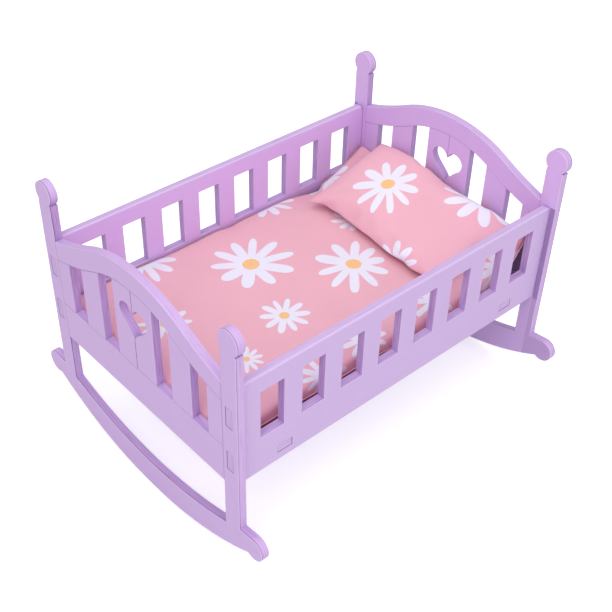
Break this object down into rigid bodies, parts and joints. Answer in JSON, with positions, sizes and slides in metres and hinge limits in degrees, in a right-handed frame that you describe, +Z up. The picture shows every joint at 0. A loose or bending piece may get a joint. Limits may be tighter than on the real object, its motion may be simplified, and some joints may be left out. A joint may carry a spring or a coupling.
{
  "type": "doll cradle",
  "caption": "Doll cradle of flat painted boards on curved rockers, with arched panelled ends, windowed sides, a mattress and a pillow in printed cloth.",
  "frame": {"origin": "on the floor under the middle of the cradle, at the bottom of its box", "axes": "+X from the foot to the head, +Y across to the far side, +Z up"},
  "size_m": [0.48, 0.4038, 0.3327],
  "materials": {
    "painted_wood": "satin lavender paint over wood",
    "mattress_cloth": "matt pink woven cloth with a daisy print",
    "pillow_cloth": "matt pink woven cloth with a daisy print"
  },
  "bodies": {
    "cradle": {"foot_end_frame": "painted_wood", "foot_arch_rail": "painted_wood", "foot_bottom_rail": "painted_wood", "foot_far_stile": "painted_wood", "foot_near_stile": "painted_wood", "foot_far_slat": "painted_wood", "foot_near_slat": "painted_wood", "foot_far_plank": "painted_wood", "foot_near_plank": "painted_wood", "head_end_frame": "painted_wood", "head_arch_rail": "painted_wood", "head_bottom_rail": "painted_wood", "head_far_stile": "painted_wood", "head_near_stile": "painted_wood", "head_far_slat": "painted_wood", "head_near_slat": "painted_wood", "head_far_plank": "painted_wood", "head_near_plank": "painted_wood", "near_side_panel": "painted_wood", "far_side_panel": "painted_wood", "base_board": "painted_wood"},
    "bed_mattress": {"mattress": "mattress_cloth"},
    "bed_pillow": {"pillow": "pillow_cloth"}
  },
  "joints": [
    {"name": "mattress_lift", "type": "slide", "parent": "cradle", "child": "bed_mattress", "axis": [0, 0, 1], "range_m": [0, 0.2]},
    {"name": "pillow_lift", "type": "slide", "parent": "bed_mattress", "child": "bed_pillow", "axis": [0, 0, 1], "range_m": [0, 0.16]}
  ]
}
